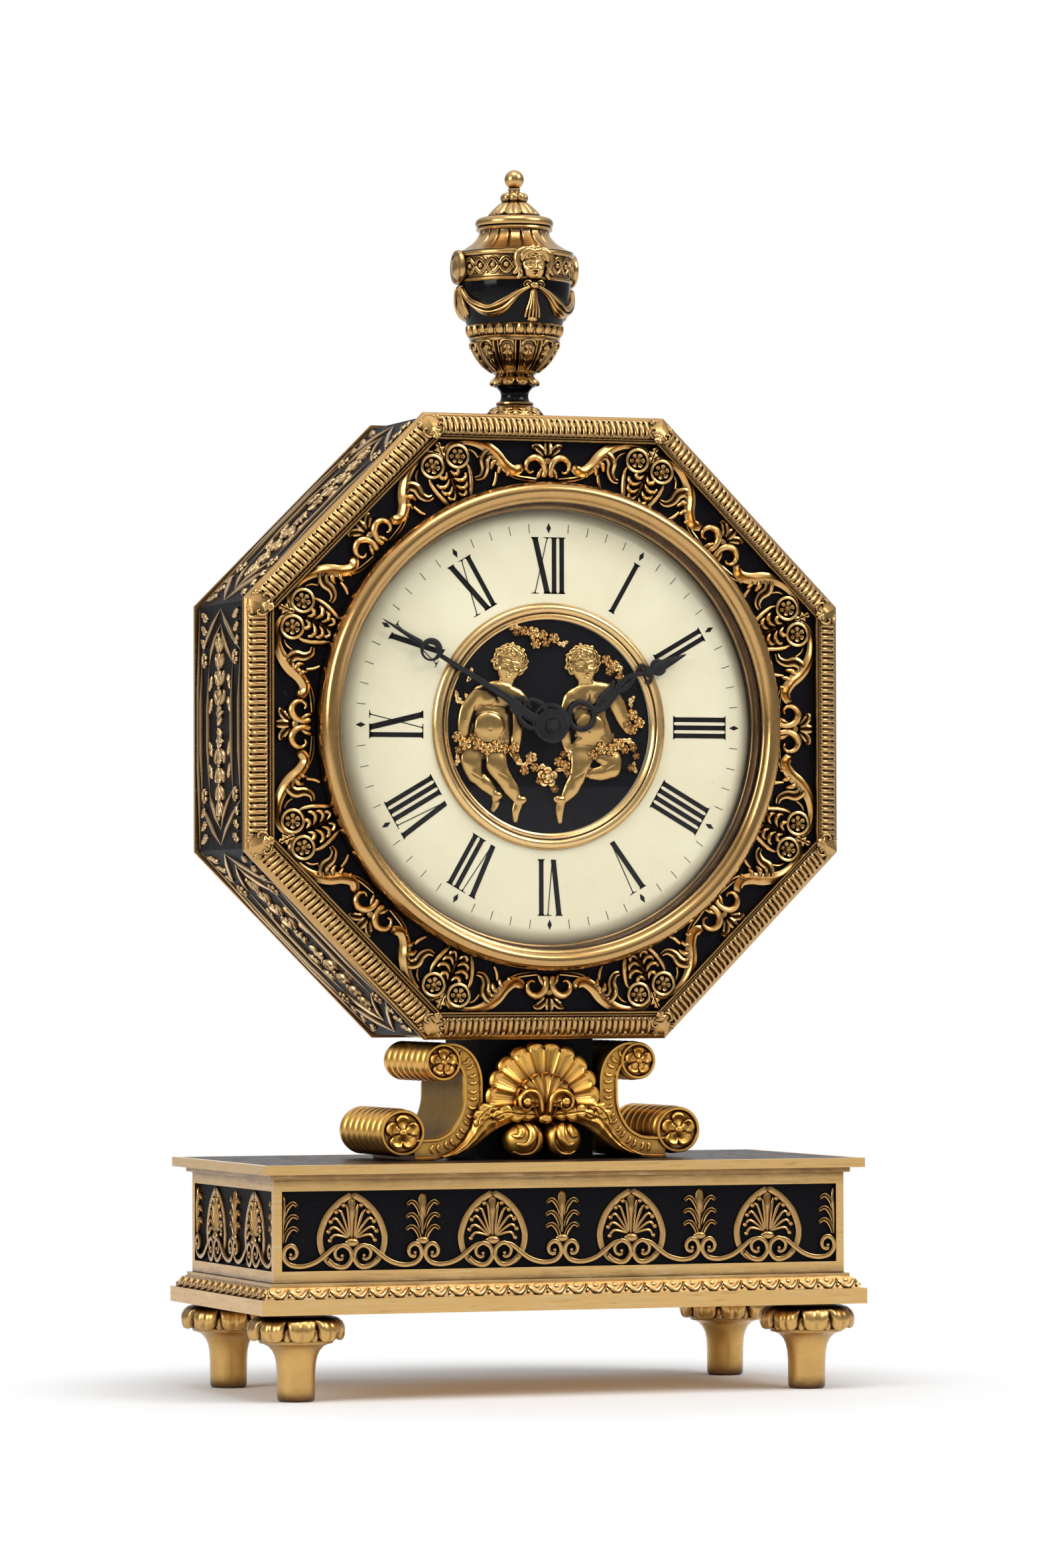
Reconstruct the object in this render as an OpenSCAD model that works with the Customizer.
// Octagonal table clock on a scroll support and a panelled plinth, with an urn finial.
// Millimetres. X runs to the right, Y to the back and Z up; the clock faces -Y.
// The origin lies on the floor, under the middle of the four feet.

/* [Plinth] */
// Height of a foot, floor to base slab
foot_h = 27.6; // [22:0.2:34]
// Radius of a foot's plain shank
foot_r = 6; // [5:0.1:7]
// Radius of a foot's leaf collar
collar_r = 15.6; // [13:0.1:16]
// Feet centres in from the ends of the base slab
foot_inset_x = 15.4; // [14:0.1:20]
// Feet centres in from the front and back of the base slab
foot_inset_y = 14; // [12:0.1:18]
// Thickness of the base slab
base_t = 4.9; // [4:0.1:7]
// Height of the leaf moulding on the base slab
leaf_h = 4.8; // [4:0.1:6]
// Width of the plinth body
body_w = 192; // [180:0.2:196]
// Depth of the plinth body
body_d = 88; // [80:0.2:92]
// Reach of the base slab beyond the ends of the body
base_out_x = 5.7; // [4.5:0.1:9]
// Reach of the base slab beyond the front and back of the body
base_out_y = 5.9; // [4.5:0.1:9]
// Height of the plinth body
body_h = 32.4; // [28:0.2:38]
// Height of the cornice under the top slab
cornice_h = 1.6; // [1:0.1:3]
// Reach of the top slab beyond the ends of the body
top_out_x = 5.1; // [3:0.1:9]
// Reach of the top slab beyond the front and back of the body
top_out_y = 5.8; // [3:0.1:9]
// Thickness of the top slab
top_t = 3; // [2:0.1:5]
// Width of the corner stiles of the body
stile_w = 2.6; // [2:0.1:4]
// Height of the rails of the body
rail_h = 3.7; // [3:0.1:5]
// Depth of the sunk panels
panel_sink = 1.4; // [0.8:0.1:2]

/* [Support] */
// Height from the plinth to the underside of the case
support_h = 38.5; // [34:0.5:44]
// Front of the scroll legs, in front of the middle
support_front = 24; // [20:0.5:28]
// Back of the scroll legs, behind the middle
support_back = 19; // [15:0.5:24]
// Radius of the lower scrolls
foot_scroll_r = 7.4; // [6.5:0.1:8.5]
// Radius of the upper scrolls
top_scroll_r = 6; // [5:0.1:6.5]
// Centre of a lower scroll from the middle
foot_scroll_x = 46.8; // [44:0.2:50]
// Centre of an upper scroll from the middle
top_scroll_x = 33.1; // [31:0.2:36]
// Inner face of a leg's waist from the middle
waist_x = 19.7; // [19:0.1:22]
// Thickness of a leg at its waist
strap_t = 6.8; // [5:0.1:8]
// Half width of the shell
shell_r = 19.6; // [17:0.2:21]

/* [Case] */
// Width of the octagon over its front frame
frame_w = 201.4; // [196:0.2:206]
// Height of the octagon over its front frame
frame_h = 199.6; // [196:0.2:206]
// Width and height cut off at each corner of the octagon
corner_cut = 60; // [56:0.2:62]
// Width of the front frame's moulding
frame_m = 8.8; // [7:0.1:11]
// Outer edge of the front frame, in front of the middle
frame_front = 28.3; // [26:0.1:31]
// Rise of the front frame's moulding to its lip
frame_rise = 4.4; // [3:0.1:5]
// Back of the case, behind the middle
case_back = 25.3; // [23:0.1:28]
// Wall of the case
wall = 1.6; // [1.2:0.1:2.4]
// Thickness of the front panel
panel_t = 1.5; // [1.2:0.1:2]
// Set-back of the case's sides from the front frame
side_inset = 1.3; // [1:0.1:2]
// Radius of the opening for the dial
dial_open_r = 73.6; // [72:0.1:75]
// Outer radius of the bezel
bezel_r = 77.9; // [76.5:0.1:80]
// Radius of the sight of the bezel
sight_r = 71.4; // [69:0.1:72]
// Radius of the back door
door_r = 47; // [45:0.2:52]
// Radius of the hole behind the back door
hatch_r = 45; // [42:0.2:46]

/* [Dial] */
// Radius of the enamel dial
dial_r = 69.6; // [67:0.1:70.5]
// Drop of the dial's domed edge
dial_drop = 3.4; // [2.4:0.1:3.6]
// Thickness of the enamel
enamel_t = 1.2; // [0.8:0.1:1.5]
// Outer radius of the ring round the medallion
medal_r = 39.5; // [37:0.1:42]
// Radius of the medallion's sunk ground
ground_r = 34.2; // [32:0.1:36]
// Length of the minute hand from the centre
minute_len = 66.4; // [60:0.2:68]
// Length of the hour hand from the centre
hour_len = 52.2; // [46:0.2:54]
// Direction of the minute hand, anticlockwise from three o'clock
minute_at = 149.5; // [0:0.5:360]
// Direction of the hour hand, anticlockwise from three o'clock
hour_at = 28.5; // [0:0.5:360]
// Rise of the domed glass
glass_rise = 6.2; // [5:0.1:8]

/* [Movement] */
// Radius of the two round plates
plate_r = 43.4; // [43:0.1:44]
// Thickness of a plate
plate_t = 2; // [1.5:0.1:2.5]
// Clear distance between the plates
plate_gap = 26; // [25:0.5:27]
// Tooth module of the barrel and the centre wheel
mod_low = 0.5; // [0.48:0.01:0.5]
// Tooth module of the third wheel
mod_third = 0.45; // [0.4:0.01:0.46]
// Tooth module of the fourth wheel
mod_fourth = 0.4; // [0.38:0.01:0.42]
// Teeth of the barrel
barrel_n = 80; // [80:10:80]
// Teeth of the centre wheel
centre_n = 64; // [64:8:64]
// Teeth of the third and fourth wheels
upper_n = 60; // [60:60]
// Radius of the centre arbor
arbor_r = 1; // [0.9:0.05:1.2]
// Clear distance from the back plate to the hand-setting knob
set_gap = 6; // [4:0.5:8]
// Radial clearance of a running fit
fit = 0.04; // [0.02:0.01:0.08]
// Radius of the balance rim
balance_r = 8; // [7:0.1:8.4]

/* [Urn] */
// Radius of the gilt foot of the urn
urn_foot_r = 10.1; // [9:0.1:12]
// Height of the foot and its black neck
urn_neck_h = 13.2; // [11:0.1:14]
// Height of the gilt cup
urn_cup_h = 19; // [17:0.1:21]
// Radius of the cup's leaf band
urn_cup_r = 14.4; // [13:0.1:15]
// Height of the black bowl
urn_bowl_h = 13.8; // [12:0.1:16]
// Radius of the black bowl at its rim
urn_bowl_r = 18.3; // [17:0.1:18.8]
// Height of the interlaced band
urn_band_h = 10; // [9:0.1:12]
// Radius of the interlaced band
urn_band_r = 18.9; // [18:0.1:20]
// Height of the lid up to the knob
urn_lid_h = 20.7; // [20:0.1:24]
// Radius of the lid's ringed shoulder
urn_ring_r = 12.7; // [11:0.1:14]
// Radius of the ball on top
ball_r = 3.15; // [2.6:0.05:3.6]

/* [Hidden] */

gilt = "goldenrod";
pale = "khaki";
black = "#16151c";
brass = "darkkhaki";
steel = "slategray";
round_fn = 48;

// Slabs of the plinth
base_w = body_w + 2 * base_out_x;
base_d = body_d + 2 * base_out_y;
top_w = body_w + 2 * top_out_x;
top_d = body_d + 2 * top_out_y;

// Levels of the plinth and the case
base_z = foot_h;
leaf_z = base_z + base_t;
body_z = leaf_z + leaf_h;
cornice_z = body_z + body_h;
top_z = cornice_z + cornice_h;
plinth_z = top_z + top_t;
case_z = plinth_z + support_h;
dial_z = case_z + frame_h / 2;
urn_z = dial_z + frame_h / 2 - side_inset;
tan_half = tan(22.5);

// Depths of the dial, the case and the movement, as Y values
panel_y = -frame_front - 1.6;
lip_y = -frame_front - frame_rise;
dial_back_y = panel_y + panel_t;
dial_y = dial_back_y - dial_drop;
bezel_y = dial_y - 7.6;
lip_t = 3.4;
glass_t = 1.2;
glass_y = bezel_y + lip_t + 0.25;
sight_y = glass_y + glass_t + 0.15;
front_plate_y = dial_back_y + 8.4;
back_plate_y = front_plate_y + plate_t + plate_gap;

// A flat outline in the X-Z plane, from Y = front to Y = front + t
module slab_y(front, t) {
    translate([0, front + t, 0]) rotate([90, 0, 0]) linear_extrude(t) children();
}

// A round rod along Y
module rod_y(y0, y1, r) {
    translate([0, y1, 0]) rotate([90, 0, 0]) cylinder(h = y1 - y0, r = r, $fn = round_fn);
}

// A turned shape about Y; its outline is given as [radius, y]
module turned_y(outline) {
    rotate([90, 0, 0]) rotate_extrude($fn = 96) polygon([for (p = outline) [p[0], -p[1]]]);
}

// Moves to the dial's centre line
module at_dial(x = 0, z = 0) {
    translate([x, 0, dial_z + z]) children();
}

// Corners of the octagon, set in by d, anticlockwise from the lower right
function oct(d) = let(
    hw = frame_w / 2 - d, hh = frame_h / 2 - d,
    ht = hw - corner_cut + d * (1 - tan_half), hu = hh - corner_cut + d * (1 - tan_half)
) [[ht, -hh], [hw, -hu], [hw, hu], [ht, hh], [-ht, hh], [-hw, hu], [-hw, -hu], [-ht, -hh]];

// Points of an arc
function arc(cx, cy, r, a0, a1, n) =
    [for (i = [0:n]) let(a = a0 + (a1 - a0) * i / n) [cx + r * cos(a), cy + r * sin(a)]];

// Points of a spiral from radius r0 at angle a0 to radius r1 at angle a1
function spiral(cx, cy, r0, r1, a0, a1, n) =
    [for (i = [0:n]) let(a = a0 + (a1 - a0) * i / n, r = r0 + (r1 - r0) * i / n)
        [cx + r * cos(a), cy + r * sin(a)]];

// Points of a cubic curve
function bez(a, b, c, d, n) =
    [for (i = [0:n]) let(t = i / n, s = 1 - t)
        s * s * s * a + 3 * s * s * t * b + 3 * s * t * t * c + t * t * t * d];

// Unit normal of a path at point i
function normal_at(p, i) = let(
    a = p[max(i - 1, 0)], b = p[min(i + 1, len(p) - 1)], d = b - a, l = norm(d)
) [-d[1], d[0]] / l;

// A band along a path whose width runs from w0 to w1, widest share at the middle
module stroke(p, w0, w1) {
    n = len(p) - 1;
    polygon(concat(
        [for (i = [0:n]) p[i] + normal_at(p, i) * (w0 + (w1 - w0) * i / n) / 2],
        [for (i = [n:-1:0]) p[i] - normal_at(p, i) * (w0 + (w1 - w0) * i / n) / 2]));
}

// A pointed petal from the origin along +Y
module petal(l, w, n = 4) {
    polygon(concat(
        [for (i = [0:n]) let(t = i / n) [w / 2 * sin(180 * pow(t, 0.8)), l * t]],
        [for (i = [n - 1:-1:1]) let(t = i / n) [-w / 2 * sin(180 * pow(t, 0.8)), l * t]]));
}

// A flat rosette with round petals; round is the number of sides of each
module rosette(r, petals, core, round = 24) {
    for (i = [0:petals - 1]) rotate(i * 360 / petals) translate([r * 0.62, 0]) circle(r * 0.38, $fn = round);
    circle(core, $fn = round);
}

// Places its child on side i of the octagon set in by d:
// X runs along the side, Y to the back and -Z outward
module on_side(i, d) {
    p = oct(d);
    a = p[i];
    b = p[(i + 1) % 8];
    m = (a + b) / 2;
    translate([m[0], 0, dial_z + m[1]]) rotate([0, -atan2(b[1] - a[1], b[0] - a[0]), 0]) children();
}
function side_len(i, d) = let(p = oct(d)) norm(p[(i + 1) % 8] - p[i]);

// Feet
module foot(sx, sy) {
    flare_z = foot_h - 10.4;
    translate([sx * (base_w / 2 - foot_inset_x), sy * (base_d / 2 - foot_inset_y), 0])
        color(gilt) rotate_extrude($fn = 72) polygon(concat(
            [[0, 0], [foot_r - 0.8, 0], [foot_r, 0.9], [foot_r + 0.5, flare_z - 7]],
            [for (p = arc(foot_r + 5.6, flare_z - 5.2, 5, 180, 90, 6)) p],
            [[collar_r - 3.8, flare_z], [collar_r - 3.8, flare_z + 1.5],
             [collar_r - 0.4, flare_z + 1.7], [collar_r, flare_z + 3]],
            [for (p = arc(collar_r - 6, flare_z + 4.4, 6, 0, 90, 6)) [p[0], min(p[1], foot_h)]],
            [[0, foot_h]]));
}

// A moulding round a rectangle of w by d; its profile is given as [distance out, height]
module moulding(w, d, z, profile) {
    h = profile[len(profile) - 1][1];
    intersection() {
        translate([-w, 0, z]) rotate([90, 0, 90]) linear_extrude(2 * w) both_ways(d / 2, profile);
        translate([0, d, z]) rotate([90, 0, 0]) linear_extrude(2 * d) both_ways(w / 2, profile);
    }
}

module both_ways(half, profile) {
    n = len(profile) - 1;
    polygon(concat([for (p = profile) [half + p[0], p[1]]],
        [for (i = [n:-1:0]) [-half - profile[i][0], profile[i][1]]]));
}

// Base slab with its sloping leaf moulding
leaf_profile = [[4.4, 0], [4, leaf_h * 0.2], [2.8, leaf_h * 0.5], [1.9, leaf_h * 0.72],
    [1.4, leaf_h * 0.78], [1.4, leaf_h]];
module base_slab() {
    color(pale) {
        translate([-base_w / 2, -base_d / 2, base_z]) cube([base_w, base_d, base_t]);
        moulding(body_w, body_d, leaf_z, leaf_profile);
    }
}

// Plinth body: four gilt faces framing sunk panels
module plinth_body() {
    ph = body_h - 2 * rail_h;
    color(gilt) {
        difference() {
            translate([-body_w / 2, -body_d / 2, body_z]) cube([body_w, body_d, body_h]);
            translate([-body_w / 2 + panel_sink, -body_d / 2 + panel_sink, body_z - 1])
                cube([body_w - 2 * panel_sink, body_d - 2 * panel_sink, body_h + 2]);
            translate([-body_w / 2 + stile_w, -body_d, body_z + rail_h])
                cube([body_w - 2 * stile_w, body_d * 2, ph]);
            translate([-body_w, -body_d / 2 + stile_w, body_z + rail_h])
                cube([body_w * 2, body_d - 2 * stile_w, ph]);
        }
        difference() {
            translate([-body_w / 2 - cornice_h, -body_d / 2 - cornice_h, cornice_z])
                cube([body_w + 2 * cornice_h, body_d + 2 * cornice_h, cornice_h]);
            translate([-body_w / 2 + panel_sink, -body_d / 2 + panel_sink, cornice_z - 1])
                cube([body_w - 2 * panel_sink, body_d - 2 * panel_sink, cornice_h + 2]);
        }
    }
}

// Black core that fills the body and shows in its panels
module plinth_core() {
    color(black) translate([-body_w / 2 + panel_sink, -body_d / 2 + panel_sink, body_z])
        cube([body_w - 2 * panel_sink, body_d - 2 * panel_sink, body_h + cornice_h]);
}

// One running-scroll unit of the frieze, centred on its ringed palmette
module frieze_unit(pitch) {
    h = body_h - 2 * rail_h;
    s = pitch / 46.6;
    difference() {
        intersection() {
            translate([-4.2 * s, 0]) circle(15.8 * s, $fn = 64);
            translate([4.2 * s, 0]) circle(15.8 * s, $fn = 64);
            translate([-h, -h / 2 + 0.4]) square([2 * h, h - 0.4]);
        }
        intersection() {
            translate([-4.2 * s, 0]) circle(13.8 * s, $fn = 64);
            translate([4.2 * s, 0]) circle(13.8 * s, $fn = 64);
        }
    }
    translate([0, -5]) {
        for (a = [-84:21:84]) rotate(a) translate([0, 1.2]) petal((14.4 - abs(a) / 18) * s, 2.6 * s);
        circle(2, $fn = 24);
    }
    for (m = [0, 1]) mirror([m, 0]) {
        stroke(spiral(3.9 * s, -8.4, 3.6, 1, -150, 240, 13), 1.7, 0.9);
        stroke(bez([1.2, -9.6], [3, -13.4], [8, -12.6], [pitch / 4, -10.4], 5), 1.6, 1.5);
        stroke(bez([pitch / 4, -10.4], [15 * s, -9], [15.6 * s, -4.6], [18.8 * s, -5.4], 5), 1.5, 1.6);
        stroke(spiral(19.3 * s, -8.2, 3.3, 0.9, 110, -280, 13), 1.7, 0.9);
    }
}

// An open palmette between two rings
module open_palmette() {
    translate([0, -6]) petal(16.5, 2.8);
    for (m = [0, 1], k = [0:2]) mirror([m, 0]) translate([0, -5 + 4.2 * k])
        stroke(bez([0.4, 0], [1, 3], [3.2, 4.6], [4.6, 2.4], 5), 1.3, 1.8);
}

// The frieze of one face
module frieze(count, length) {
    h = body_h - 2 * rail_h;
    pitch = length / count;
    intersection() {
        square([length, h], center = true);
        union() {
            for (i = [0:count - 1]) translate([(i - (count - 1) / 2) * pitch, 0]) frieze_unit(pitch);
            for (i = [0:count]) translate([(i - count / 2) * pitch, 0]) open_palmette();
        }
    }
}

module plinth_friezes() {
    t = panel_sink - 0.3;
    color(gilt) for (s = [0, 180]) rotate([0, 0, s]) translate([0, 0, body_z + body_h / 2]) {
        slab_y(-body_d / 2 + panel_sink - t, t) frieze(4, body_w - 2 * stile_w);
        rotate([0, 0, 90]) slab_y(-body_w / 2 + panel_sink - t, t) frieze(2, body_d - 2 * stile_w);
    }
}

// Top slab with a rebate for the dark inlay
inlay_rim = 2.2;
inlay_t = 0.8;
module plinth_top() {
    color(gilt) difference() {
        translate([-top_w / 2, -top_d / 2, top_z]) cube([top_w, top_d, top_t]);
        translate([-top_w / 2 + inlay_rim, -top_d / 2 + inlay_rim, plinth_z - inlay_t])
            cube([top_w - 2 * inlay_rim, top_d - 2 * inlay_rim, inlay_t * 2]);
    }
}

module plinth_inlay() {
    color("#2c2220") translate([-top_w / 2 + inlay_rim, -top_d / 2 + inlay_rim, plinth_z - inlay_t])
        cube([top_w - 2 * inlay_rim, top_d - 2 * inlay_rim, inlay_t]);
}

// Scroll legs
leg_gap = 1.2;
leg_cz = plinth_z + support_h / 2 + 2;
foot_scroll_z = plinth_z + foot_scroll_r + 1.6;
top_scroll_z = case_z - leg_gap - top_scroll_r;

module leg_outline() {
    mid = waist_x + strap_t / 2;
    low = plinth_z + strap_t * 0.52;
    path = concat(
        bez([top_scroll_x, case_z - leg_gap - strap_t / 2 + 0.6],
            [mid + 2.4, case_z - leg_gap - strap_t / 2], [mid, leg_cz + 9], [mid, leg_cz], 9),
        bez([mid, leg_cz - 1.5], [mid, low + 8], [mid + 8, low], [foot_scroll_x - 5, low], 10));
    stroke(path, strap_t * 0.9, strap_t * 1.04);
    translate([top_scroll_x, top_scroll_z]) circle(top_scroll_r, $fn = 48);
    translate([foot_scroll_x, foot_scroll_z]) circle(foot_scroll_r, $fn = 48);
}

// A banded roll between the ends of a scroll
module roll_bands(x, z, r) {
    n = 6;
    d = support_front + support_back - 6;
    for (i = [0:n - 1]) translate([x, 0, z])
        rod_y(-support_front + 3 + d * i / n + 0.4, -support_front + 3 + d * (i + 1) / n - 0.4, r + 0.7);
}

module scroll_leg(m) {
    color("#d99a25") mirror([m, 0, 0]) {
        slab_y(-support_front, support_front + support_back) leg_outline();
        roll_bands(top_scroll_x, top_scroll_z, top_scroll_r);
        roll_bands(foot_scroll_x, foot_scroll_z, foot_scroll_r);
    }
}

// Dark block that carries the case
block_in = 5;
block_front = -support_front + block_in;
module support_block() {
    hw = waist_x - 0.4;
    color(black) translate([-hw, block_front, plinth_z])
        cube([2 * hw, support_front + support_back - 2 * block_in, support_h + side_inset]);
}

// A fan of round-ended lobes; fill is their width as a share of the room for each
module fan(r, fill) {
    lobes = 11;
    step = 19;
    reach = r / (1 + sin(step / 2));
    lobe_r = (r - reach) * fill;
    for (i = [0:lobes - 1]) rotate(90 + step * (i - (lobes - 1) / 2)) {
        polygon([[r * 0.12, -lobe_r * 0.16], [reach, -lobe_r], [reach, lobe_r], [r * 0.12, lobe_r * 0.16]]);
        translate([reach, 0]) circle(lobe_r, $fn = 24);
    }
    circle(r * 0.16, $fn = 24);
}

// Shell with fluted lobes, a small shell on it and two curled leaf feet
module shell_ornament() {
    zc = plinth_z + support_h * 0.48;
    depth = support_front + block_front;
    leaf_r = 5.9;
    color("#d99a25") difference() {
        union() {
            translate([0, 0, zc]) {
                slab_y(-support_front, depth) fan(shell_r, 1.06);
                slab_y(-support_front - 1, 2) fan(shell_r - 0.3, 0.84);
                slab_y(-support_front - 2.2, 2) fan(shell_r * 0.54, 0.84);
                slab_y(-support_front - 2.8, 2) circle(3, $fn = 32);
            }
            for (m = [0, 1]) mirror([m, 0, 0]) {
                slab_y(-support_front - 1.8, depth + 1.8)
                    translate([leaf_r + 0.7, plinth_z + leaf_r]) circle(leaf_r, $fn = 40);
                slab_y(-support_front - 1, depth + 1)
                    stroke(bez([2, zc - 2], [8, zc - 5], [12, zc - 6], [waist_x + 4, zc - 10], 5), 8, 3);
            }
        }
        for (m = [0, 1]) mirror([m, 0, 0]) slab_y(-support_front, support_front) leg_outline();
    }
}

module support_flowers() {
    color("#d99a25") for (m = [0, 1], b = [0, 1]) mirror([m, 0, 0])
        for (q = [[top_scroll_x, top_scroll_z, top_scroll_r], [foot_scroll_x, foot_scroll_z, foot_scroll_r]])
            translate([q[0], 0, q[1]]) {
                slab_y(b ? support_back : -support_front - 1, 1) rosette(q[2] * 0.86, 5, q[2] * 0.3);
                translate([0, b ? support_back + 1 : -support_front - 1, 0]) sphere(q[2] * 0.13, $fn = 24);
            }
}

// Case: an open octagonal box of bent sheet
module case_shell() {
    color(black) at_dial() slab_y(-frame_front, frame_front + case_back) difference() {
        polygon(oct(side_inset));
        polygon(oct(side_inset + wall));
    }
}

// Profile of the front frame, as [distance in from the edge, y]
frame_profile = [
    [0, -frame_front + 1.6], [0, -frame_front], [frame_m * 0.16, -frame_front - frame_rise * 0.52],
    [frame_m * 0.38, -frame_front - frame_rise * 0.88], [frame_m * 0.62, -frame_front - frame_rise],
    [frame_m * 0.86, -frame_front - frame_rise], [frame_m, lip_y + 0.8], [frame_m, panel_y],
    [side_inset + wall + 0.2, panel_y], [side_inset + wall + 0.2, -frame_front],
    [side_inset, -frame_front], [side_inset, -frame_front + 1.6]];

// A moulding mitred round the octagon
module mitred(outline, reach) {
    outer = oct(-0.1);
    inner = oct(reach + 0.1);
    for (i = [0:7]) intersection() {
        on_side(i, 0) rotate([0, 90, 0]) translate([0, 0, -frame_w / 2]) linear_extrude(frame_w)
            polygon([for (p = outline) [-p[0], p[1]]]);
        at_dial() slab_y(-60, 120) polygon([outer[i], outer[(i + 1) % 8], inner[(i + 1) % 8], inner[i]]);
    }
}

module front_frame() {
    color(gilt) mitred(frame_profile, frame_m);
}

// Back frame: a plain moulded octagon behind the case
back_t = 1.5;
module back_frame() {
    color(gilt) at_dial() slab_y(case_back, back_t) difference() {
        polygon(oct(0.1));
        polygon(oct(7));
    }
}

// Front panel with its opening for the dial
module front_panel() {
    color(black) at_dial() slab_y(panel_y, panel_t) difference() {
        polygon(oct(side_inset + wall + 0.3));
        circle(dial_open_r, $fn = 96);
    }
}

// A lobed leaf: pairs of petals along a path, longest at its middle
module lobed(p, l, w) {
    n = len(p) - 1;
    stroke(p, w, w * 0.5);
    for (i = [0:n - 1], m = [-1, 1]) let(d = p[i + 1] - p[i], k = sin(30 + 130 * i / n))
        translate(p[i]) rotate(atan2(d[1], d[0]) - 90 + m * 46) petal(l * k, l * k * 0.56, 3);
}

// Plume of paired leaves on the line to a corner of the octagon
module corner_plume() {
    translate([0, 78.6]) petal(19.4, 3);
    for (m = [0, 1]) mirror([m, 0]) {
        for (q = [[80.2, 5.4], [82.8, 6.6], [85.4, 6.6], [88, 5.4]])
            translate([0, q[0]]) rotate(-58) petal(q[1], 2.2, 3);
        translate([0, 91.4]) rotate(-40) petal(4.6, 1.8, 3);
    }
}

// Half of a side: an acanthus scroll that ends in a rosette, with its branches
module side_scroll() {
    eye = [30.6, 85.7];
    stroke(bez([12.5, 81.8], [17, 83.6], [21, 90.4], [28, 90.7], 6), 2.9, 2.2);
    stroke(spiral(eye[0], eye[1], 5, 3.9, 112, -150, 10), 1.8, 0.9);
    translate(eye) rosette(2.9, 6, 1.1, 12);
    stroke(bez([17.5, 86], [20.6, 84.6], [18.8, 79.6], [21.2, 78.4], 4), 1.9, 1.5);
    stroke(bez([21.2, 78.4], [22.6, 77.6], [24.6, 78], [24.4, 80.2], 3), 1.5, 1);
    stroke(bez([28.2, 88.6], [24.6, 87], [22, 84], [21.6, 80], 3), 0.8, 0.9);
    stroke(bez([27.2, 83], [26.2, 79], [26, 76], [25.2, 73.6], 3), 1, 0.9);
    lobed(bez([7.8, 84.6], [9.4, 80.2], [15, 82], [20.4, 89.6], 4), 4.4, 1.8);
    stroke(bez([0.4, 78.4], [4, 78], [10, 77.4], [15, 82.2], 4), 0.9, 1.6);
    stroke(spiral(4.4, 83.4, 2.9, 1.1, 215, -120, 8), 1.7, 1);
    stroke(bez([0, 78.8], [0.6, 80.4], [1.4, 81.4], [2, 82.4], 3), 1.2, 1.5);
}

module front_scrollwork() {
    t = 1.7;
    band = frame_h / 2 - frame_m;
    color(gilt) at_dial() slab_y(panel_y - t, t) difference() {
        intersection() {
            scale(band / 91) for (i = [0:7]) {
                rotate(22.5 + 45 * i) corner_plume();
                rotate(45 * i) {
                    for (m = [0, 1]) mirror([m, 0]) side_scroll();
                    for (a = [-40, 0, 40]) translate([0, 84.6]) rotate(a) petal(6, 2.4, 3);
                }
            }
            polygon(oct(frame_m + 0.2));
        }
        circle(bezel_r + 0.2, $fn = 96);
    }
}

// Bezel: a turned ring that holds the glass
module bezel() {
    seat_r = sight_r + 1.2;
    color(gilt) at_dial() turned_y([
        [sight_r, bezel_y + lip_t], [sight_r, bezel_y + 1.1], [sight_r + 0.9, bezel_y + 0.2],
        [sight_r + 2.2, bezel_y], [sight_r + 3.2, bezel_y + 0.6], [sight_r + 3.6, bezel_y + 1.8],
        [bezel_r - 2, bezel_y + 2.2], [bezel_r - 1.4, bezel_y + 1.7], [bezel_r - 0.4, bezel_y + 2.2],
        [bezel_r, bezel_y + 3.4], [bezel_r, panel_y], [dial_open_r - 0.1, panel_y],
        [dial_open_r - 0.1, sight_y], [seat_r, sight_y], [seat_r, bezel_y + lip_t]]);
}

// Domed glass
module dial_glass() {
    r = sight_r + 1.1;
    sphere_r = (r * r + glass_rise * glass_rise) / (2 * glass_rise);
    edge_a = asin(r / sphere_r);
    centre_y = glass_y - glass_rise + sphere_r;
    color("lightblue", 0.3) at_dial() turned_y(concat(
        arc(0, centre_y, sphere_r, -90, -90 + edge_a, 14),
        arc(0, centre_y, sphere_r - glass_t, -90 + edge_a, -90, 14)));
}

// Stepped ring between the glass and the dial
module sight_ring() {
    depth = dial_back_y - sight_y;
    color(gilt) at_dial() turned_y([
        [dial_r + 0.1, dial_back_y], [dial_r + 0.1, dial_back_y - depth * 0.5],
        [dial_r + 0.9, dial_back_y - depth * 0.56], [dial_r + 0.9, sight_y + 0.5], [dial_r + 1.4, sight_y],
        [dial_open_r - 0.3, sight_y], [dial_open_r - 0.3, dial_back_y]]);
}

// Strapwork on the sides: nested lines with pointed ends; the middle of the top and of the
// underside stays plain for the urn and the support
strap_w = 0.8;
strap_h = 0.6;
function hexagon(l, d, q) = [[-l / 2, 0], [-l / 2 + q, -d / 2], [l / 2 - q, -d / 2],
    [l / 2, 0], [l / 2 - q, d / 2], [-l / 2 + q, d / 2]];

module hex_line(l, d, q, w) {
    difference() {
        polygon(hexagon(l, d, q));
        polygon(hexagon(l - 3 * w, d - 2 * w, q));
    }
}

module side_straps() {
    depth = frame_front + case_back;
    mid = (case_back - frame_front) / 2;
    color(gilt) for (i = [0:7]) {
        l = side_len(i, side_inset) - 0.6;
        on_side(i, side_inset) translate([0, mid, -strap_h]) linear_extrude(strap_h) {
            difference() {
                square([l, depth - 4], center = true);
                square([l - 2 * strap_w, depth - 4 - 2.4 * strap_w], center = true);
            }
            hex_line(l, depth - 12, 13, strap_w);
            if (i % 4 != 3) hex_line(l - 14, depth - 24, 11, strap_w);
        }
    }
}

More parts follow.
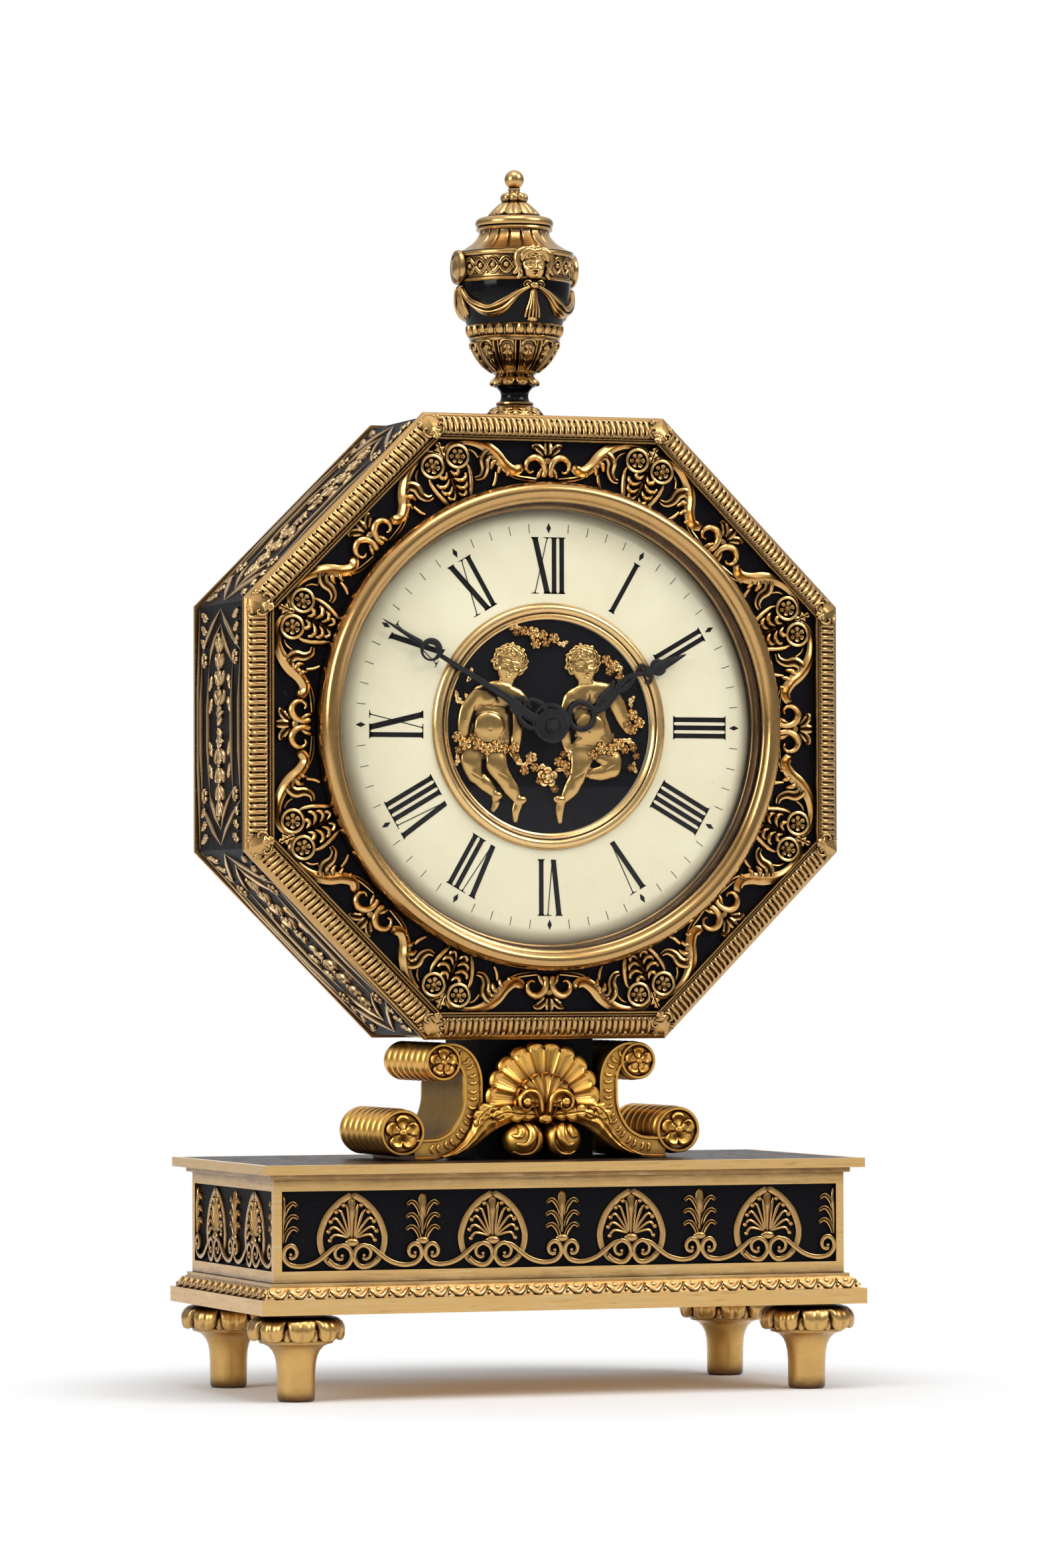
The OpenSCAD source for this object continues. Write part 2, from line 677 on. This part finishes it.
// Chains of husks and buds along the six open sides, with a rosette at each middle
module side_husks() {
    mid = (case_back - frame_front) / 2;
    color(gilt) for (i = [0:7]) if (i % 4 != 3)
        on_side(i, side_inset) translate([0, mid, -1]) linear_extrude(1) {
            rosette(4.4, 6, 1.6);
            for (m = [0, 1], k = [0:3]) mirror([m, 0]) translate([5 + 6.2 * k, 0]) {
                rotate(-90) petal(5.4, 3.4 - 0.4 * k);
                translate([5.6, 0]) circle(0.7, $fn = 16);
            }
        }
}

// Back panel with the hatch for winding and setting
module back_panel() {
    color(black) at_dial() difference() {
        union() {
            slab_y(case_back - 1.6, 1.6) polygon(oct(side_inset + wall + 0.1));
            for (s = [-1, 1]) translate([hinge_x, hinge_y, s * 9 - 3]) {
                cylinder(h = 6, r = knuckle_r, $fn = round_fn);
                translate([-0.2, case_back - hinge_y, 0]) cube([3.4, hinge_y - case_back, 6]);
            }
        }
        slab_y(case_back - 3, 6) circle(hatch_r, $fn = 96);
        for (s = [-1, 1]) translate([hinge_x, hinge_y, s * 9 - 4])
            cylinder(h = 8, r = hinge_pin_r, $fn = round_fn);
    }
}

// Round back door with its hinge knuckle
door_y = case_back + 0.3;
door_t = 1.4;
hinge_x = door_r + 1.4;
hinge_y = case_back + 2;
knuckle_r = 1.7;
hinge_pin_r = 0.7;
knob_x = -door_r + 4.6;
knob_r = 1.2;
module back_door() {
    color(gilt) at_dial() difference() {
        union() {
            slab_y(door_y, door_t) {
                circle(door_r, $fn = 96);
                translate([door_r - 8, -5.7]) square([7.4, 11.4]);
            }
            translate([hinge_x, hinge_y, -5.7]) cylinder(h = 11.4, r = knuckle_r, $fn = round_fn);
            translate([door_r - 6, door_y + 0.3, -5.7]) cube([7.4, door_t - 0.3, 11.4]);
        }
        translate([hinge_x, hinge_y, -8]) cylinder(h = 16, r = hinge_pin_r + fit, $fn = round_fn);
        translate([knob_x, 0, 0]) rod_y(door_y - 1, door_y + door_t + 1, knob_r + fit);
    }
}

module hinge_pin() {
    color(steel) at_dial() translate([hinge_x, hinge_y, -13]) {
        cylinder(h = 26, r = hinge_pin_r, $fn = round_fn);
        translate([0, 0, 25.2]) cylinder(h = 1.2, r = 1.3, $fn = round_fn);
    }
}

// Knob of the back door, with the tongue that holds behind the panel
module door_knob() {
    color(brass) at_dial(knob_x) {
        rod_y(case_back - 2.8, door_y + door_t + 2, knob_r);
        turned_y([[0, door_y + door_t + 0.2], [2, door_y + door_t + 0.2], [2, door_y + door_t + 1.6],
            [3.2, door_y + door_t + 3], [3.2, door_y + door_t + 4.6], [0, door_y + door_t + 5]]);
        slab_y(case_back - 2.8, 0.9) translate([-5.6, -1.4]) square([7, 2.8]);
    }
}

// Enamel dial with a domed edge
module dial_ring() {
    flat = dial_r - 5.4;
    edge = [for (i = [0:5]) let(t = i / 5) [flat + 5.4 * t, dial_y + dial_drop * t * t]];
    color("#efe9ce") at_dial() turned_y(concat(
        [[ground_r + 0.1, dial_y], [flat, dial_y]], [for (i = [1:5]) edge[i]],
        [[dial_r - 1.6, dial_back_y], [flat, dial_y + enamel_t], [ground_r + 0.1, dial_y + enamel_t]]));
}

// Brass plate behind the dial, with three dial feet
module dial_plate() {
    color(brass) at_dial() difference() {
        union() {
            slab_y(dial_back_y, 1.4) circle(dial_open_r + 3, $fn = 96);
            for (a = [100, 200, 320]) rotate([0, -a, 0]) translate([plate_r - 6, 0, 0])
                rod_y(dial_back_y + 1, front_plate_y, 1.6);
            rod_y(dial_y + enamel_t, dial_back_y + 1, ground_r + 4);
        }
        rod_y(dial_y - 1, dial_back_y + 3, pipe_r + 0.5);
        slab_y(dial_y - 1, 1 + ground_sink + ground_t) circle(ground_r, $fn = 96);
    }
}

// Medallion: ground, ring and relief
ground_sink = 0.6;
ground_t = 1.8;
module medallion_ground() {
    color(black) at_dial() difference() {
        slab_y(dial_y + ground_sink, ground_t) circle(ground_r - 0.1, $fn = 96);
        rod_y(dial_y - 1, dial_y + 4, pipe_r + 0.3);
    }
}

module medallion_ring() {
    color(gilt) at_dial() turned_y([
        [ground_r + 0.1, dial_y], [ground_r + 0.1, dial_y - 0.8], [ground_r + 1, dial_y - 1.5],
        [ground_r + 2.2, dial_y - 1], [ground_r + 3, dial_y - 1.2], [medal_r - 0.8, dial_y - 1.2],
        [medal_r, dial_y - 0.5], [medal_r, dial_y]]);
}

// Low relief of two children with garlands, as plain masses
module medallion_relief() {
    y = dial_y + ground_sink;
    color(gilt) at_dial() difference() {
        union() for (m = [0, 1]) mirror([m, 0, 0]) {
            slab_y(y - 1.4, 1.4) scale(ground_r / 34.2) {
                translate([13.5, 15]) circle(5.4, $fn = 32);
                stroke(bez([13, 11], [15, 6], [14, 0], [12, -7], 8), 9, 11);
                stroke(bez([15, 8], [22, 6], [25, 2], [22, -3], 8), 4.4, 3);
                stroke(bez([11, 8], [7, 6], [5, 8], [3.4, 11], 8), 4.2, 2.6);
            }
            slab_y(y - 1, 1) scale(ground_r / 34.2) {
                stroke(bez([12, -6], [16, -14], [14, -20], [9, -26], 8), 9, 4);
                stroke(bez([9, -8], [6, -14], [7, -18], [3, -24], 8), 8, 4);
                stroke(bez([20, -4], [14, -13], [6, -15], [0.4, -12], 10), 4, 5);
                translate([5, 27]) rosette(4.6, 5, 1.8);
            }
        }
        rod_y(y - 3, y + 1, pipe_r + 0.3);
    }
}

// A toothed outline: n teeth of module m, tooth thickness as a share of the pitch
function teeth(n, m, share, add, ded) = let(r = n * m / 2, p = 360 / n) [
    for (i = [0:n - 1], q = [[-0.62, -ded], [-0.5, 0], [-0.22, add], [0.22, add], [0.5, 0], [0.62, -ded]])
        let(a = p * (i + q[0] * share), rr = r + m * q[1]) [rr * cos(a), rr * sin(a)]];

module wheel_teeth(n, m) {
    polygon(teeth(n, m, 0.38, 0.85, 1.25));
}

module leaf_teeth(n, m) {
    polygon(teeth(n, m, 0.34, 0.8, 1.2));
}

// A wheel with spokes cut out
module crossed(n, m, spokes, hub, rim) {
    difference() {
        wheel_teeth(n, m);
        for (i = [0:spokes - 1]) rotate(i * 360 / spokes) intersection() {
            difference() {
                circle(rim, $fn = 64);
                circle(hub, $fn = 32);
            }
            polygon([[0, 0], [2 * rim * cos(8), 2 * rim * sin(8)],
                [2 * rim * cos(360 / spokes - 8), 2 * rim * sin(360 / spokes - 8)]]);
        }
    }
}

// Turn of a driven pinion so that it meshes with a wheel whose tooth stands at angle 0
function mesh_turn(wheel_n, pinion_n, dir) =
    dir + 180 + 360 / pinion_n * (0.5 + (dir * wheel_n / 360 - floor(dir * wheel_n / 360)));

// Train layout
low_leaves = 10;
third_leaves = 8;
escape_leaves = 6;
hands_leaves = 8;
barrel_dist = mod_low * (barrel_n + low_leaves) / 2;
third_dist = mod_low * (centre_n + third_leaves) / 2;
fourth_dist = mod_third * (upper_n + third_leaves) / 2;
escape_dist = mod_fourth * (upper_n + escape_leaves) / 2;
third_dir = 150;
fourth_dir = 60;
escape_dir = -10;
barrel_at = [0, -barrel_dist];
third_at = third_dist * [cos(third_dir), sin(third_dir)];
fourth_at = third_at + fourth_dist * [cos(fourth_dir), sin(fourth_dir)];
escape_at = fourth_at + escape_dist * [cos(escape_dir), sin(escape_dir)];
escape_r = 7;
lever_at = escape_at + [escape_r * 1.22, 0];
balance_at = lever_at + [balance_r + 1.6, 0];
pillar_dirs = [62, 118, 205, 335];
pillar_r = plate_r - 4.4;
pipe_r = arbor_r + 1;
y_in = front_plate_y + plate_t;
y_end = y_in + plate_gap;
pivot_less = 0.25;

module at_train(p) {
    at_dial(p[0], p[1]) children();
}

// An arbor with a pivot in each plate
module arbor(r) {
    rod_y(y_in + 0.15, y_end - 0.15, r);
    rod_y(front_plate_y + 0.2, back_plate_y + plate_t - 0.2, r - pivot_less);
}

third_r = 0.8;
fourth_r = 0.7;
escape_arbor_r = 0.6;
staff_r = 0.6;
winding_r = 2.6;

module plate_holes(y) {
    pivots = [[third_at, third_r], [fourth_at, fourth_r], [escape_at, escape_arbor_r],
        [lever_at, staff_r], [balance_at, staff_r]];
    for (p = pivots) translate([p[0][0], 0, p[0][1]]) rod_y(y - 1, y + plate_t + 1, p[1] - pivot_less + fit);
    translate([barrel_at[0], 0, barrel_at[1]]) rod_y(y - 1, y + plate_t + 1, winding_r + fit);
}

module front_plate() {
    color(brass) at_dial() difference() {
        rod_y(front_plate_y, y_in, plate_r);
        plate_holes(front_plate_y);
        rod_y(front_plate_y - 1, y_in + 1, arbor_r + fit);
    }
    color(brass) at_train(minute_wheel_at) rod_y(front_plate_y - 4.6, front_plate_y + 0.5, 0.8);
}

module back_plate() {
    color(brass) at_train(click_at) rod_y(back_plate_y + plate_t - 0.5, ratchet_y + 2.2, 1);
    color(brass) at_dial() difference() {
        rod_y(back_plate_y, back_plate_y + plate_t, plate_r);
        plate_holes(back_plate_y);
        rod_y(back_plate_y - 1, back_plate_y + plate_t + 1, arbor_r + fit);
        translate([balance_at[0], 0, balance_at[1]]) difference() {
            rod_y(back_plate_y - 1, back_plate_y + plate_t + 1, balance_r * 0.8);
            rod_y(back_plate_y - 2, back_plate_y + plate_t + 2, 3);
            translate([-2, back_plate_y - 2, -balance_r]) cube([4, plate_t + 4, balance_r * 2]);
        }
    }
}

module plate_pillars() {
    color(brass) at_dial() for (a = pillar_dirs) rotate([0, -a, 0]) translate([pillar_r, 0, 0]) {
        rod_y(y_in, y_end, 2.2);
        rod_y(y_in, y_in + 2, 2.9);
        rod_y(y_end - 2, y_end, 2.9);
        rod_y(y_end + plate_t, y_end + plate_t + 1.4, 2.6);
    }
}

// Going barrel with its great wheel
drum_r = mod_low * barrel_n / 2 - 3;
barrel_y = y_in + 3;
drum_l = 13;
module barrel() {
    color(brass) at_train(barrel_at) difference() {
        union() {
            slab_y(barrel_y, 2) wheel_teeth(barrel_n, mod_low);
            rod_y(barrel_y, barrel_y + drum_l, drum_r);
        }
        rod_y(barrel_y + 1.2, barrel_y + drum_l - 1.2, drum_r - 1);
        rod_y(barrel_y - 1, barrel_y + drum_l + 1, winding_r + fit);
    }
}

// Mainspring, wound inside the barrel
module mainspring() {
    turns = 7;
    r0 = winding_r + 1.2;
    r1 = drum_r - 1.4;
    color(steel) at_train(barrel_at) slab_y(barrel_y + 2, drum_l - 4)
        stroke(spiral(0, 0, r0, r1, 0, 360 * turns, 24 * turns), 0.5, 0.5);
}

module winding_arbor() {
    color(steel) at_train(barrel_at) {
        rod_y(front_plate_y, back_plate_y + plate_t + 2.2, winding_r);
        rod_y(barrel_y - 0.6 - 1.6, barrel_y - 0.4, winding_r + 1);
        rod_y(barrel_y + drum_l + 0.4, barrel_y + drum_l + 2, winding_r + 1);
        slab_y(back_plate_y + plate_t + 2.2, 8) square(winding_r * 1.4, center = true);
    }
}

// Ratchet wheel and click on the outside of the back plate
ratchet_n = 24;
ratchet_r = 8;
ratchet_y = back_plate_y + plate_t + 0.3;
click_at = barrel_at + [-9.5, 10.5];
module ratchet_wheel() {
    color(steel) at_train(barrel_at) slab_y(ratchet_y, 1.6) difference() {
        polygon([for (i = [0:ratchet_n - 1], q = [[-0.04, -1.1], [0, 0]])
            let(a = 360 / ratchet_n * (i + q[0]), r = ratchet_r + q[1]) [r * cos(a), r * sin(a)]]);
        circle(winding_r, $fn = round_fn);
    }
}

module click() {
    tip = barrel_at + (ratchet_r - 0.7) * [cos(162.5), sin(162.5)] - click_at;
    color(steel) at_train(click_at) slab_y(ratchet_y, 1.4) difference() {
        union() {
            circle(2.4, $fn = 32);
            polygon([[-2, 1], [2, 1], tip + [-0.2, 1.95], tip, tip + [-1.2, 0.6]]);
        }
        circle(1 + fit, $fn = 32);
    }
}

// Wheels of the train
module centre_wheel() {
    color(brass) at_dial() difference() {
        union() {
            slab_y(barrel_y - 0.5, 3.4) rotate(mesh_turn(barrel_n, low_leaves, 90))
                leaf_teeth(low_leaves, mod_low);
            rod_y(barrel_y + 2.9, centre_end, 1.9);
            slab_y(centre_wheel_y, 1.2) crossed(centre_n, mod_low, 5, 3.2, mod_low * centre_n / 2 - 2.4);
        }
        rod_y(y_in, y_end, arbor_r + fit);
    }
}

centre_wheel_y = barrel_y + drum_l + 1.4;
centre_end = centre_wheel_y + 1.4;
third_wheel_y = barrel_y + 5;
fourth_wheel_y = centre_wheel_y + 3.4;
module third_wheel() {
    color(brass) at_train(third_at) {
        arbor(third_r);
        slab_y(centre_wheel_y - 0.8, 2.8) rotate(mesh_turn(centre_n, third_leaves, third_dir))
            leaf_teeth(third_leaves, mod_low);
        slab_y(third_wheel_y, 1.1) crossed(upper_n, mod_third, 5, 2.6, mod_third * upper_n / 2 - 2.2);
        rod_y(third_wheel_y - 0.8, third_wheel_y + 1.9, 2);
    }
}

module fourth_wheel() {
    color(brass) at_train(fourth_at) {
        arbor(fourth_r);
        slab_y(third_wheel_y - 0.8, 2.7) rotate(mesh_turn(upper_n, third_leaves, fourth_dir))
            leaf_teeth(third_leaves, mod_third);
        slab_y(fourth_wheel_y, 1) crossed(upper_n, mod_fourth, 5, 2.4, mod_fourth * upper_n / 2 - 2);
        rod_y(fourth_wheel_y - 0.8, fourth_wheel_y + 1.8, 1.8);
    }
}

escape_y = third_wheel_y - 3.4;
module escape_wheel() {
    n = 15;
    color(brass) at_train(escape_at) {
        arbor(escape_arbor_r);
        slab_y(fourth_wheel_y - 0.8, 2.6) rotate(mesh_turn(upper_n, escape_leaves, escape_dir))
            leaf_teeth(escape_leaves, mod_fourth);
        slab_y(escape_y, 0.9) difference() {
            polygon([for (i = [0:n - 1], q = [[0, 0], [0.16, 0], [0.34, -1.8], [0.8, -1.8]])
                let(a = 360 / n * (i + q[0]), r = escape_r + q[1]) [r * cos(a), r * sin(a)]]);
            for (i = [0:3]) rotate(45 + 90 * i) translate([3, 0]) circle(1.3, $fn = 24);
        }
        rod_y(escape_y - 0.6, escape_y + 1.5, 1.3);
    }
}

// Pallet lever; its stones stand just outside the escape wheel's points
module pallet_lever() {
    reach = norm(balance_at - lever_at);
    color(steel) at_train(lever_at) {
        arbor(staff_r);
        slab_y(escape_y, 0.9) {
            circle(1.5, $fn = 24);
            stroke([[0, 0], [reach - 4.2, 0]], 1.2, 0.9);
            for (s = [-1, 1]) {
                stroke([[0, 0], [-1.1, s * 3.4], [-2.7, s * 5.9]], 1.5, 1);
                stroke([[reach - 4.6, 0], [reach - 3.8, s * 0.8], [reach - 2.9, s * 0.9]], 0.6, 0.5);
            }
        }
    }
}

// Balance with its roller, and the spiral spring
balance_y = escape_y + 4.2;
module balance_wheel() {
    color("gold") at_train(balance_at) {
        arbor(staff_r);
        slab_y(balance_y, 1.2) {
            difference() {
                circle(balance_r, $fn = 64);
                circle(balance_r - 1, $fn = 64);
            }
            square([2 * balance_r - 1, 1.1], center = true);
            circle(1.5, $fn = 24);
        }
        rod_y(escape_y - 0.4, escape_y + 1.6, 1.3);
        translate([-1.9, 0, 0]) rod_y(escape_y - 0.2, escape_y + 1.5, 0.35);
        slab_y(escape_y + 0.9, 0.6) translate([-1.2, 0]) square([2.6, 1.6], center = true);
    }
}

module hairspring() {
    color("steelblue") at_train(balance_at) slab_y(balance_y + 2.2, 0.4)
        stroke(spiral(0, 0, staff_r + 0.1, balance_r * 0.55, 0, 360 * 5, 20 * 5), 0.16, 0.16);
}

// Motion work and hands
motion_dist = mod_low * (low_leaves + 3 * low_leaves) / 2;
minute_wheel_at = motion_dist * [cos(-45), sin(-45)];
cannon_y = front_plate_y - 2.4;
hour_wheel_y = cannon_y - 2.6;
hand_t = 0.5;
hour_hand_y = dial_y - 1.8 - hand_t;
minute_hand_y = hour_hand_y - 0.4 - hand_t;

module centre_arbor() {
    knob_y = back_plate_y + plate_t + set_gap;
    color(steel) at_dial() {
        rod_y(minute_hand_y - 1, knob_y, arbor_r);
        slab_y(cannon_y, 1.8) leaf_teeth(low_leaves, mod_low);
        rod_y(y_in + 0.3, barrel_y - 0.8, arbor_r + 1.2);
        rod_y(centre_end + 0.3, y_end - 0.3, arbor_r + 1.2);
        turned_y([[0, knob_y], [3.6, knob_y], [4, knob_y + 0.6], [4, knob_y + 3], [3.4, knob_y + 3.6],
            [0, knob_y + 3.6]]);
    }
}

module minute_wheel() {
    color(brass) at_train(minute_wheel_at) difference() {
        union() {
            slab_y(cannon_y + 0.3, 1) rotate(mesh_turn(low_leaves, 3 * low_leaves, -45))
                wheel_teeth(3 * low_leaves, mod_low);
            slab_y(hour_wheel_y - 0.4, cannon_y - hour_wheel_y + 0.7) rotate(-45)
                leaf_teeth(hands_leaves, mod_low);
        }
        rod_y(hour_wheel_y - 2, cannon_y + 3, 0.8 + fit);
    }
}

module hour_wheel() {
    color(brass) at_dial() difference() {
        union() {
            slab_y(hour_wheel_y, 1) rotate(mesh_turn(hands_leaves, 4 * hands_leaves, 135))
                wheel_teeth(4 * hands_leaves, mod_low);
            rod_y(hour_hand_y, hour_wheel_y + 1, pipe_r);
        }
        rod_y(hour_hand_y - 1, hour_wheel_y + 2, arbor_r + fit);
    }
}

module hour_hand() {
    ring = hour_len * [0.205, -0.038];
    cross_x = hour_len * 0.72;
    color(black) at_dial() rotate([0, -hour_at, 0]) slab_y(hour_hand_y, hand_t) difference() {
        union() {
            circle(3.4, $fn = round_fn);
            stroke([[2.4, -0.4], [6.6, -1.4]], 3, 2.6);
            translate(ring) circle(5, $fn = round_fn);
            stroke(bez(ring + [4.4, 1], [20, 5], [26, -3.4], [cross_x, 0], 10), 2, 1.6);
            translate([cross_x, 0]) circle(1.4, $fn = 24);
            translate([cross_x - 0.8, 0]) rotate(-90) petal(hour_len - cross_x + 0.8, 5);
            for (a = [0, 180]) translate([cross_x, 0]) rotate(a) petal(5, 2.4);
        }
        circle(pipe_r, $fn = round_fn);
        translate(ring) circle(3.6, $fn = round_fn);
    }
}

module minute_hand() {
    ring_x = minute_len * 0.71;
    color(black) at_dial() rotate([0, -minute_at, 0]) slab_y(minute_hand_y, hand_t) difference() {
        union() {
            circle(3, $fn = round_fn);
            stroke(bez([2.4, 0], [10, 3], [14, -2.4], [24, 0], 10), 2.6, 1.2);
            stroke([[23, 0], [ring_x - 2.6, 0]], 1.2, 1.4);
            translate([ring_x, 0]) circle(3.7, $fn = round_fn);
            translate([ring_x + 3, 0]) circle(0.8, $fn = 24);
            translate([ring_x + 2.8, 0]) rotate(-90) petal(minute_len - ring_x - 2.8, 1.6);
        }
        circle(arbor_r, $fn = round_fn);
        translate([ring_x, 0.7]) circle(2.3, $fn = round_fn);
    }
}

module hand_nut() {
    y = minute_hand_y;
    color(steel) at_dial() turned_y([[arbor_r, y], [2.1, y], [2.1, y - 0.5], [1.5, y - 1.3], [0, y - 1.5],
        [0, y - 1], [arbor_r, y - 1]]);
}

// Urn finial
spool_z = urn_z + urn_neck_h * 0.58;
cup_z = urn_z + urn_neck_h;
bowl_z = cup_z + urn_cup_h;
band_z = bowl_z + urn_bowl_h;
lid_z = band_z + urn_band_h;
knob_z = lid_z + urn_lid_h;

// A shape turned about the urn's axis; its outline is given as [radius, z]
module turned(outline) {
    rotate_extrude($fn = 96) polygon(outline);
}

module urn_foot() {
    color(gilt) turned(concat([[0, urn_z], [urn_foot_r, urn_z], [urn_foot_r, urn_z + 1.4]],
        [for (p = arc(urn_foot_r - 5, urn_z + 2, 4.4, 0, 84, 6)) p],
        [[5.4, urn_z + urn_neck_h * 0.56], [5.4, spool_z], [0, spool_z]]));
}

module urn_body() {
    color(black) {
        turned([[0, spool_z], [5.3, spool_z], [4.5, spool_z + 1.6], [4.7, spool_z + 3], [6.4, cup_z],
            [0, cup_z]]);
        turned(concat([[0, bowl_z], [urn_cup_r + 0.9, bowl_z]],
            [for (i = [1:6]) let(t = i / 6)
                [urn_cup_r + 0.9 + (urn_bowl_r - urn_cup_r - 0.9) * sin(90 * t), bowl_z + urn_bowl_h * t]],
            [[0, band_z]]));
    }
}

// A cloth swag hung over the bowl between two knots a quarter turn apart
module swag() {
    half = knot_at[0] / sqrt(2);
    low = [urn_bowl_r - 0.1, knot_at[1] - urn_bowl_h * 0.66];
    sag = norm(low - [half, knot_at[1]]);
    dip = atan2(knot_at[1] - low[1], low[0] - half);
    r = (half * half + sag * sag) / (2 * sag);
    a = asin(half / r);
    translate([0, r * cos(dip) - low[0], low[1] + r * sin(dip)]) rotate([dip, 0, 0])
        rotate([0, 0, -90 - a]) rotate_extrude(angle = 2 * a, $fn = 96) translate([r, 0])
            circle(1.15, $fn = 24);
}

// Raised tongues round the cup
module cup_tongues(outline) {
    n = 12;
    intersection() {
        turned(outline);
        translate([0, 0, cup_z + 4.4]) linear_extrude(urn_cup_h - 10) for (i = [0:n - 1])
            rotate(360 * i / n) polygon([[0, 0], [urn_band_r, -urn_band_r * tan(120 / n)],
                [urn_band_r, urn_band_r * tan(120 / n)]]);
    }
}

// Distance of a swag's knot from the axis, and its height
knot_at = [urn_bowl_r + 1.9, band_z - 0.5];
module urn_band() {
    cup = [for (i = [1:7]) let(t = i / 7)
        [urn_cup_r * (0.46 + 0.54 * sin(90 * t)), cup_z + 3.4 + (urn_cup_h - 8.2) * t]];
    roundel_z = band_z + urn_band_h * 0.5;
    color(gilt) {
        turned(concat([[0, cup_z], [urn_cup_r * 0.5, cup_z], [urn_cup_r * 0.55, cup_z + 1.4],
            [urn_cup_r * 0.46, cup_z + 2.6], [urn_cup_r * 0.46, cup_z + 3.4]], cup,
            [[urn_cup_r, bowl_z - 4.4], [urn_cup_r + 0.3, bowl_z - 0.5], [urn_cup_r + 0.3, bowl_z],
             [0, bowl_z]]));
        cup_tongues(concat([[0, cup_z + 3.4]], [for (p = cup) p + [0.5, 0]], [[0, bowl_z - 4.4]]));
        turned([[0, band_z], [urn_bowl_r, band_z], [urn_band_r - 0.3, band_z + 0.8],
            [urn_band_r - 0.6, band_z + 1.6], [urn_band_r, lid_z - 1.6], [urn_band_r + 0.3, lid_z - 0.8],
            [urn_band_r + 0.2, lid_z], [0, lid_z]]);
        for (s = [-1, 1]) {
            translate([s * (urn_band_r + 0.9), 0, roundel_z]) rotate([0, 90, 0])
                cylinder(h = 2.6, r = urn_band_h * 0.56, center = true, $fn = round_fn);
            translate([0, s * urn_band_r, roundel_z]) sphere(urn_band_h * 0.44, $fn = 32);
        }
        for (i = [0:3]) rotate(90 * i) {
            translate([knot_at[0], 0, knot_at[1]]) sphere(1.8, $fn = 24);
            rotate(45) swag();
        }
        for (s = [-1, 1]) translate([0, s * knot_at[0], knot_at[1]]) rotate([s * 172, 0, 0])
            cylinder(h = urn_bowl_h * 0.85, r1 = 1, r2 = 2, $fn = 24);
    }
}

module urn_lid() {
    neck = 11.2;
    color(gilt) {
        turned(concat([[0, lid_z], [urn_band_r + 0.2, lid_z]],
            [for (i = [0:6]) let(t = i / 6)
                [neck + (urn_band_r - neck) * pow(1 - t, 2), lid_z + 0.6 + 6.6 * t]],
            [[urn_ring_r, lid_z + 7.6], [urn_ring_r, lid_z + 8.8], [urn_ring_r - 0.6, lid_z + 9.6],
             [urn_ring_r, lid_z + 10.4], [urn_ring_r - 0.8, lid_z + 11.4], [8.2, lid_z + 11.8]],
            [for (p = arc(0, lid_z + 11, 8.2, 12, 60, 6)) [p[0], lid_z + 11.6 + (p[1] - lid_z - 11) * 0.62]],
            [[4.1, lid_z + 16.4], [4.1, knob_z - 1.6], [1.9, knob_z - 0.6], [1.9, knob_z + 0.8],
             [0, knob_z + 0.8]]));
        translate([0, 0, knob_z + ball_r + 0.2]) sphere(ball_r, $fn = 48);
    }
}

foot(-1, -1);  // foot_front_left
foot(1, -1);  // foot_front_right
foot(-1, 1);  // foot_back_left
foot(1, 1);  // foot_back_right
base_slab();
plinth_body();
plinth_core();
plinth_friezes();
plinth_top();
plinth_inlay();
scroll_leg(1);  // scroll_leg_left
scroll_leg(0);  // scroll_leg_right
support_block();
shell_ornament();  // shell_front
translate([0, support_back - support_front, 0]) mirror([0, 1, 0]) shell_ornament();  // shell_back
support_flowers();
case_shell();
front_frame();
back_frame();
front_panel();
front_scrollwork();
bezel();
dial_glass();
sight_ring();
side_straps();
side_husks();
back_panel();
back_door();
hinge_pin();
door_knob();
dial_ring();
dial_plate();
medallion_ground();
medallion_ring();
medallion_relief();
front_plate();
back_plate();
plate_pillars();
barrel();
mainspring();
winding_arbor();
ratchet_wheel();
click();
centre_wheel();
third_wheel();
fourth_wheel();
escape_wheel();
pallet_lever();
balance_wheel();
hairspring();
centre_arbor();
minute_wheel();
hour_wheel();
hour_hand();
minute_hand();
hand_nut();
urn_foot();
urn_body();
urn_band();
urn_lid();
